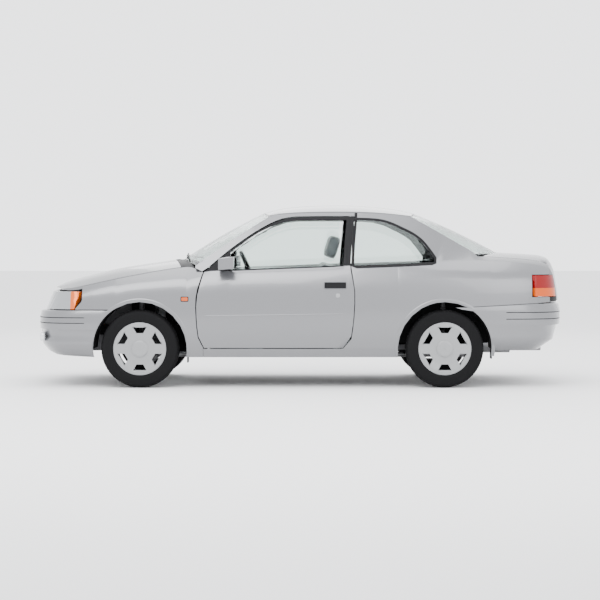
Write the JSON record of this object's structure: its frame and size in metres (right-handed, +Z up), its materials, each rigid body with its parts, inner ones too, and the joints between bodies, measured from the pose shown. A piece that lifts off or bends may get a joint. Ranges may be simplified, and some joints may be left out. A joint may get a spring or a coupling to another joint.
{
  "type": "two-door notchback coupe car",
  "caption": "Two-door notchback coupe with opening doors, bonnet and boot lid, steered front wheels and four turning wheels.",
  "frame": {"origin": "on the ground, in the middle of the car's length and width", "axes": "-X towards the nose, -Y towards the left side, +Z up"},
  "size_m": [4.16, 1.8934, 1.4352],
  "materials": {
    "body_paint": "metallic gloss",
    "underbody": "matt",
    "clear_glass": "gloss",
    "lamp_clear": "gloss",
    "lamp_red": "gloss",
    "black_plastic": "matt",
    "cast_metal": "rough",
    "steel_parts": "satin",
    "seat_cloth": "woven",
    "tyre_rubber": "matt",
    "wheel_cover": "satin"
  },
  "bodies": {
    "root": {"floor_pan": "underbody", "bulkhead": "underbody", "sills": "body_paint", "roof_rails": "body_paint", "roof_panel": "body_paint", "quarter_panel_left": "body_paint", "quarter_panel_right": "body_paint", "front_wing_left": "body_paint", "front_wing_right": "body_paint", "front_panel": "underbody", "rear_panel": "body_paint", "front_bumper": "body_paint", "rear_bumper": "body_paint", "scuttle_panel": "black_plastic", "windscreen": "clear_glass", "rear_window": "clear_glass", "quarter_windows": "clear_glass", "headlamps": "lamp_clear", "grille": "black_plastic", "tail_lamps": "lamp_red", "wipers": "black_plastic", "arch_liners": "black_plastic", "mud_flaps": "black_plastic", "engine": "cast_metal", "dashboard": "black_plastic", "front_seats": "seat_cloth", "rear_seat": "seat_cloth", "parcel_shelf": "black_plastic", "front_suspension": "steel_parts", "rear_axle": "steel_parts", "exhaust": "steel_parts", "fuel_tank": "underbody"},
    "bonnet": {"bonnet": "body_paint"},
    "boot_lid": {"boot_lid": "body_paint"},
    "door_left": {"door_left": "body_paint", "door_glass_left": "clear_glass", "mirror_left": "body_paint", "door_handle_left": "black_plastic"},
    "knuckle_left": {"knuckle_left": "steel_parts"},
    "door_right": {"door_right": "body_paint", "door_glass_right": "clear_glass", "mirror_right": "body_paint", "door_handle_right": "black_plastic"},
    "knuckle_right": {"knuckle_right": "steel_parts"},
    "wheel_front_left": {"wheel_front_left": "wheel_cover", "tyre_front_left": "tyre_rubber"},
    "wheel_front_right": {"wheel_front_right": "wheel_cover", "tyre_front_right": "tyre_rubber"},
    "wheel_rear_left": {"wheel_rear_left": "wheel_cover", "tyre_rear_left": "tyre_rubber"},
    "wheel_rear_right": {"wheel_rear_right": "wheel_cover", "tyre_rear_right": "tyre_rubber"},
    "steering_wheel": {"steering_wheel": "black_plastic"}
  },
  "joints": [
    {"name": "door_left_hinge", "type": "hinge", "parent": "root", "child": "door_left", "pos_m": [-0.747, -0.81, 0.6], "axis": [0, 0, -1], "range_deg": [0, 65]},
    {"name": "door_right_hinge", "type": "hinge", "parent": "root", "child": "door_right", "pos_m": [-0.747, 0.81, 0.6], "axis": [0, 0, 1], "range_deg": [0, 65]},
    {"name": "bonnet_hinge", "type": "hinge", "parent": "root", "child": "bonnet", "pos_m": [-0.885, 0, 0.93], "axis": [0, 1, 0], "range_deg": [0, 50]},
    {"name": "boot_lid_hinge", "type": "hinge", "parent": "root", "child": "boot_lid", "pos_m": [1.33, 0, 0.985], "axis": [0, -1, 0], "range_deg": [0, 70]},
    {"name": "steering_left", "type": "hinge", "parent": "root", "child": "knuckle_left", "pos_m": [-1.25, -0.675, 0.306], "axis": [0, 0, 1], "range_deg": [-35, 35]},
    {"name": "steering_right", "type": "hinge", "parent": "root", "child": "knuckle_right", "pos_m": [-1.25, 0.675, 0.306], "axis": [0, 0, 1], "range_deg": [-35, 35]},
    {"name": "steering_wheel_turn", "type": "hinge", "parent": "root", "child": "steering_wheel", "pos_m": [-0.4, -0.36, 0.9], "axis": [0.9063, 0, 0.4226], "range_deg": [-490, 490]},
    {"name": "wheel_front_left_spin", "type": "hinge", "parent": "knuckle_left", "child": "wheel_front_left", "pos_m": [-1.25, -0.725, 0.306], "axis": [0, 1, 0], "continuous": true},
    {"name": "wheel_front_right_spin", "type": "hinge", "parent": "knuckle_right", "child": "wheel_front_right", "pos_m": [-1.25, 0.725, 0.306], "axis": [0, 1, 0], "continuous": true},
    {"name": "wheel_rear_left_spin", "type": "hinge", "parent": "root", "child": "wheel_rear_left", "pos_m": [1.13, -0.725, 0.306], "axis": [0, 1, 0], "continuous": true},
    {"name": "wheel_rear_right_spin", "type": "hinge", "parent": "root", "child": "wheel_rear_right", "pos_m": [1.13, 0.725, 0.306], "axis": [0, 1, 0], "continuous": true}
  ],
  "couplings": [
    {"joint": "steering_right", "follows": "steering_left", "ratio": 1},
    {"joint": "steering_wheel_turn", "follows": "steering_left", "ratio": 14}
  ]
}
